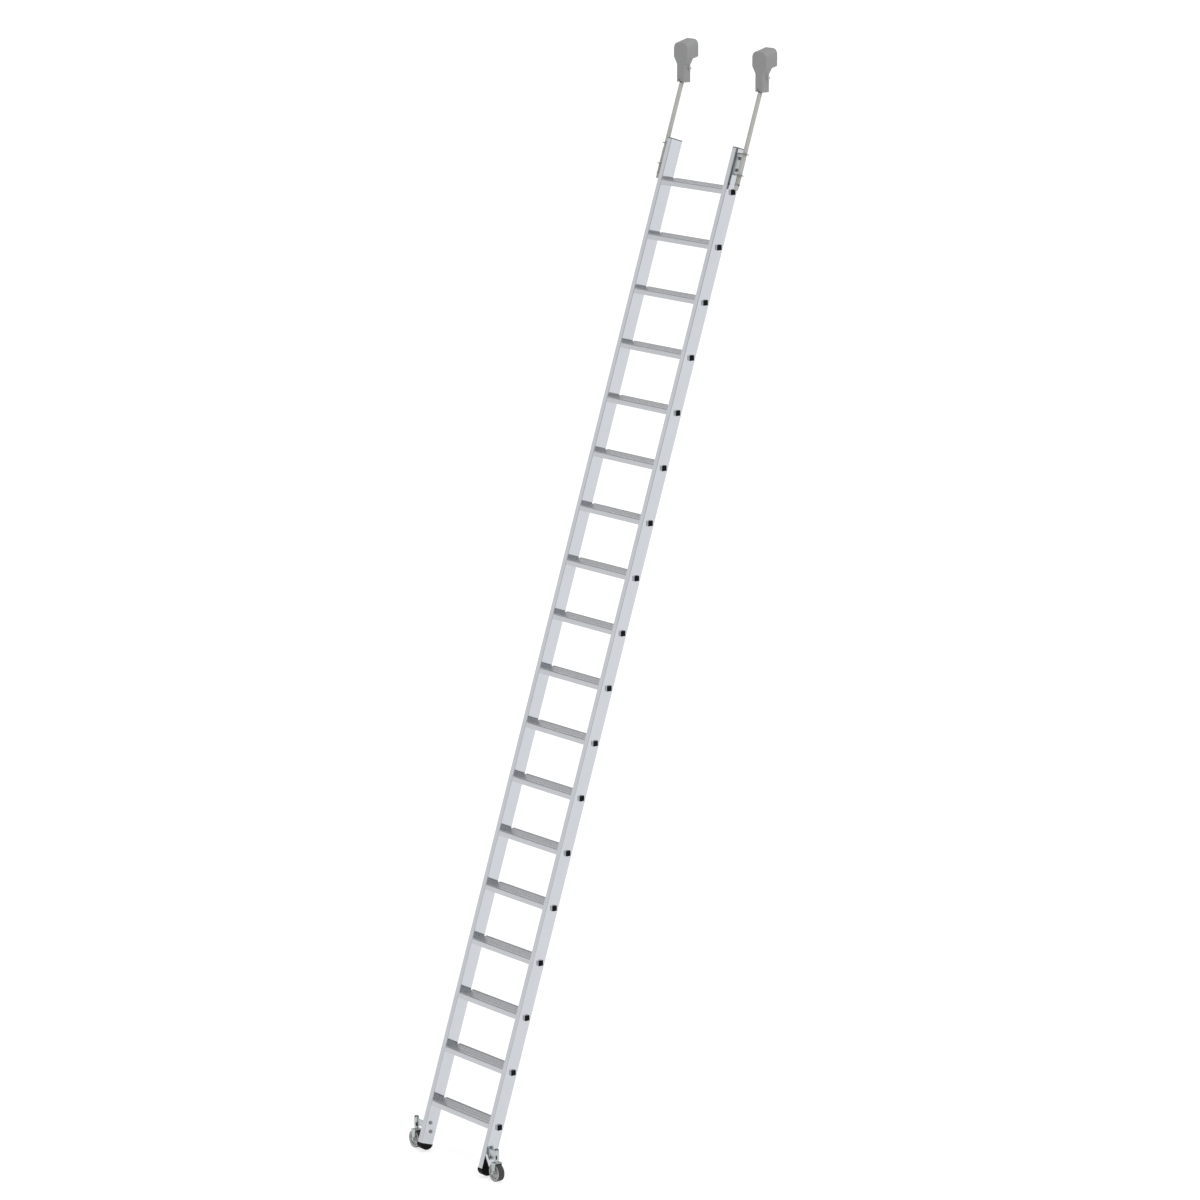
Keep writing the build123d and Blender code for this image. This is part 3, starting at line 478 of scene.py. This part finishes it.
# Finishes of single pieces, which stand in for those of their slots
dull_finish = plated_steel("dull_steel", colour=(0.22, 0.231, 0.236), rough=SATIN, crystals=STEEL_CRYSTALS)
paired_finishes = {
    # Head brackets: the ears darker than the web, as painted shade
    "head_bracket": bracket_metal("zinc_with_shaded_ears", web=scaled(ZINC, 1.3), ears=scaled(ZINC, 0.7)),
    # Rods: painted shade where they enter the necks
    "hook_rod": rod_with_top_shade(),
    "pivot_bolt": plated_steel(
        "clean_zinc", colour=(0.5, 0.52, 0.525), rough=SATIN, crystals=STEEL_CRYSTALS),
    # Castor brackets: zinc with painted shade on the sleeve top, the plate's front edge and the edges
    "castor_bracket": sleeve_metal("zinc_with_painted_shade", colour=scaled(ZINC, 1.25)),
    # Castor forks: painted shade on the stems inside their sleeves
    "castor_fork": fork_with_stem_shade(),
    "rod_pin": dull_finish,
}
piece_finishes = {f"{name}_{hand}": finish for name, finish in paired_finishes.items() for hand in SIDES}
piece_finishes["castor_bracket_bolts"] = dull_finish

for entry in frame["record"]["subparts"]:
    piece = frame["nodes"][entry["node"]]
    finish = piece_finishes.get(entry["node"]) or finishes[entry["material_slot"]]
    piece.data.materials.clear()
    piece.data.materials.append(finish.material)


def coil_mesh(name, origin, axis, radius, wire, length, turns, slot):
    """Round wire wound on a cylinder, with a close turn and a square-cut end at each side."""
    across = Vector((1.0, 0.0, 0.0))
    beside = axis.cross(across)
    close_pitch = wire * CLOSE_PITCH
    open_pitch = (length - wire - 2 * close_pitch) / (turns - 2)
    rings = int(turns * RINGS_PER_TURN)
    vertices = []
    faces = []
    for ring in range(rings + 1):
        turn = ring / rings * turns
        angle = 2 * math.pi * turn
        first_turn = min(turn, 1) * close_pitch
        open_turns = min(max(turn - 1, 0), turns - 2) * open_pitch
        last_turn = max(turn - turns + 1, 0) * close_pitch
        outward = across * math.cos(angle) + beside * math.sin(angle)
        centre = origin + outward * radius + axis * (wire / 2 + first_turn + open_turns + last_turn)
        for side in range(WIRE_SIDES):
            around = 2 * math.pi * side / WIRE_SIDES
            vertices.append(centre + (outward * math.cos(around) + axis * math.sin(around)) * wire / 2)
    for ring in range(rings):
        for side in range(WIRE_SIDES):
            first = ring * WIRE_SIDES + side
            second = ring * WIRE_SIDES + (side + 1) % WIRE_SIDES
            faces.append((first, second, second + WIRE_SIDES, first + WIRE_SIDES))
    faces.append(tuple(range(WIRE_SIDES)))
    faces.append(tuple(reversed(range(rings * WIRE_SIDES, (rings + 1) * WIRE_SIDES))))
    mesh = bpy.data.meshes.new(name)
    mesh.from_pydata(vertices, [], faces)
    mesh.update()
    for polygon in mesh.polygons:
        polygon.use_smooth = len(polygon.vertices) < WIRE_SIDES
    piece = bpy.data.objects.new(name, mesh)
    bpy.context.scene.collection.objects.link(piece)
    piece.data.materials.append(finishes[slot].material)
    return piece


def head_coil(hand):
    """Spring on the rod under the head bracket, wound along the rod."""
    collar_middle = sum(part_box(f"rod_collar_{hand}"), Vector()) / 2
    low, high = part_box(f"head_spring_{hand}")
    outer_radius = (high.x - low.x) / 2
    radius = outer_radius - HEAD_SPRING_WIRE / 2
    up_the_rod = ((low + high) / 2 - collar_middle).dot(STILE_UP)
    middle = collar_middle + STILE_UP * up_the_rod
    length = (high.z - low.z - 2 * outer_radius * math.sin(LEAN)) / math.cos(LEAN)
    foot = middle - STILE_UP * length / 2
    spring = coil_mesh(
        f"head_coil_{hand}", foot, STILE_UP, radius, HEAD_SPRING_WIRE, length, HEAD_SPRING_TURNS,
        "spring_steel")
    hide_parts(f"head_spring_{hand}")
    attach(spring, "frame")
    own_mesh(spring)


def castor_coil(hand):
    """Spring in the castor's sleeve, wound upwards."""
    low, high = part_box(f"castor_spring_{hand}")
    radius = (high.x - low.x) / 2 - CASTOR_SPRING_WIRE / 2
    length = high.z - low.z
    foot = Vector(((low.x + high.x) / 2, (low.y + high.y) / 2, low.z))
    spring = coil_mesh(
        f"castor_coil_{hand}", foot, UP, radius, CASTOR_SPRING_WIRE, length, CASTOR_SPRING_TURNS,
        "spring_steel")
    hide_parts(f"castor_spring_{hand}")
    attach(spring, "frame")
    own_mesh(spring)


for hand in SIDES:
    head_coil(hand)
    castor_coil(hand)


def pale_floor():
    """Wide pale floor that fills the view and glows a little, as a light table does."""
    corners = [(x * FLOOR_HALF, y * FLOOR_HALF, 0) for x, y in ((-1, -1), (1, -1), (1, 1), (-1, 1))]
    mesh = bpy.data.meshes.new("floor")
    mesh.from_pydata(corners, [], [(0, 1, 2, 3)])
    floor = bpy.data.objects.new("floor", mesh)
    bpy.context.scene.collection.objects.link(floor)
    material, tree, shader = new_material("floor_paint")
    shader.inputs["Roughness"].default_value = 0.95
    shader.inputs["Specular IOR Level"].default_value = 0.0
    shader.inputs["Emission Color"].default_value = WHITE
    shader.inputs["Emission Strength"].default_value = FLOOR_GLOW
    tone = noise(tree, place(tree), scale=40.0, detail=2.0)
    tree.links.new(blend_colour(tree, tone, *FLOOR_TONES), shader.inputs["Base Color"])
    mesh.materials.append(material)


def soft_sun(name, from_direction, strength, width):
    """Very wide distant light that shines from one direction."""
    data = bpy.data.lights.new(name, "SUN")
    data.energy = strength
    data.angle = math.radians(width)
    light = bpy.data.objects.new(name, data)
    light.rotation_mode = "QUATERNION"
    light.rotation_quaternion = (-Vector(from_direction)).to_track_quat("-Z", "Y")
    bpy.context.scene.collection.objects.link(light)


def white_surroundings():
    """White world that is dimmer overhead, at the near right and low at the rear."""
    world = bpy.data.worlds.new("studio")
    world.use_nodes = True
    tree = world.node_tree
    background = tree.nodes["Background"]
    background.inputs["Color"].default_value = WHITE
    direction = coordinates(tree, "Generated")
    overhead = spread(tree, direction["Z"], source=(0.24, 0.46), target=(1.0, 0.55))
    right_share = 0.9
    rear_share = -0.35
    right_part = combine(tree, "MULTIPLY", direction["X"], right_share)
    rear_part = combine(tree, "MULTIPLY", direction["Y"], rear_share)
    toward = combine(tree, "ADD", right_part, rear_part)
    near_right = spread(tree, toward, source=(0.35, 0.85), target=(1.0, 0.63))
    low = spread(tree, direction["Z"], source=(0.1, 0.3), target=(0.14, 0.0))
    at_rear = spread(tree, direction["Y"], source=(0.2, 0.5), target=RISING)
    low_rear = combine(tree, "SUBTRACT", 1.0, combine(tree, "MULTIPLY", low, at_rear))
    around = combine(tree, "MULTIPLY", near_right, low_rear)
    dimmed = combine(tree, "MULTIPLY", overhead, around)
    full_strength = 0.95
    tree.links.new(combine(tree, "MULTIPLY", dimmed, full_strength), background.inputs["Strength"])
    bpy.context.scene.world = world


def photo_camera():
    """Camera at the photograph's view."""
    azimuth = math.radians(CAMERA_AZIMUTH)
    elevation = math.radians(CAMERA_ELEVATION)
    back = Vector((
        math.sin(azimuth) * math.cos(elevation),
        -math.cos(azimuth) * math.cos(elevation),
        math.sin(elevation),
    ))
    data = bpy.data.cameras.new("photo_camera")
    data.sensor_width = SENSOR_WIDTH
    data.lens = FOCAL_PIXELS / IMAGE_SIDE * SENSOR_WIDTH
    data.shift_x = CENTRE_SHIFT[0] / IMAGE_SIDE
    data.shift_y = CENTRE_SHIFT[1] / IMAGE_SIDE
    data.clip_end = CAMERA_REACH
    camera = bpy.data.objects.new("photo_camera", data)
    camera.location = LOOK_AT + back * CAMERA_DISTANCE
    camera.rotation_mode = "QUATERNION"
    camera.rotation_quaternion = (-back).to_track_quat("-Z", "Y")
    bpy.context.scene.collection.objects.link(camera)
    bpy.context.scene.camera = camera


pale_floor()
white_surroundings()
soft_sun("top_light", from_direction=(0.0, 0.0, 1.0), strength=1.0, width=80.0)
soft_sun("right_light", from_direction=(1.0, -0.1, 0.9), strength=1.3, width=40.0)
photo_camera()
bpy.context.scene.view_settings.view_transform = "Standard"
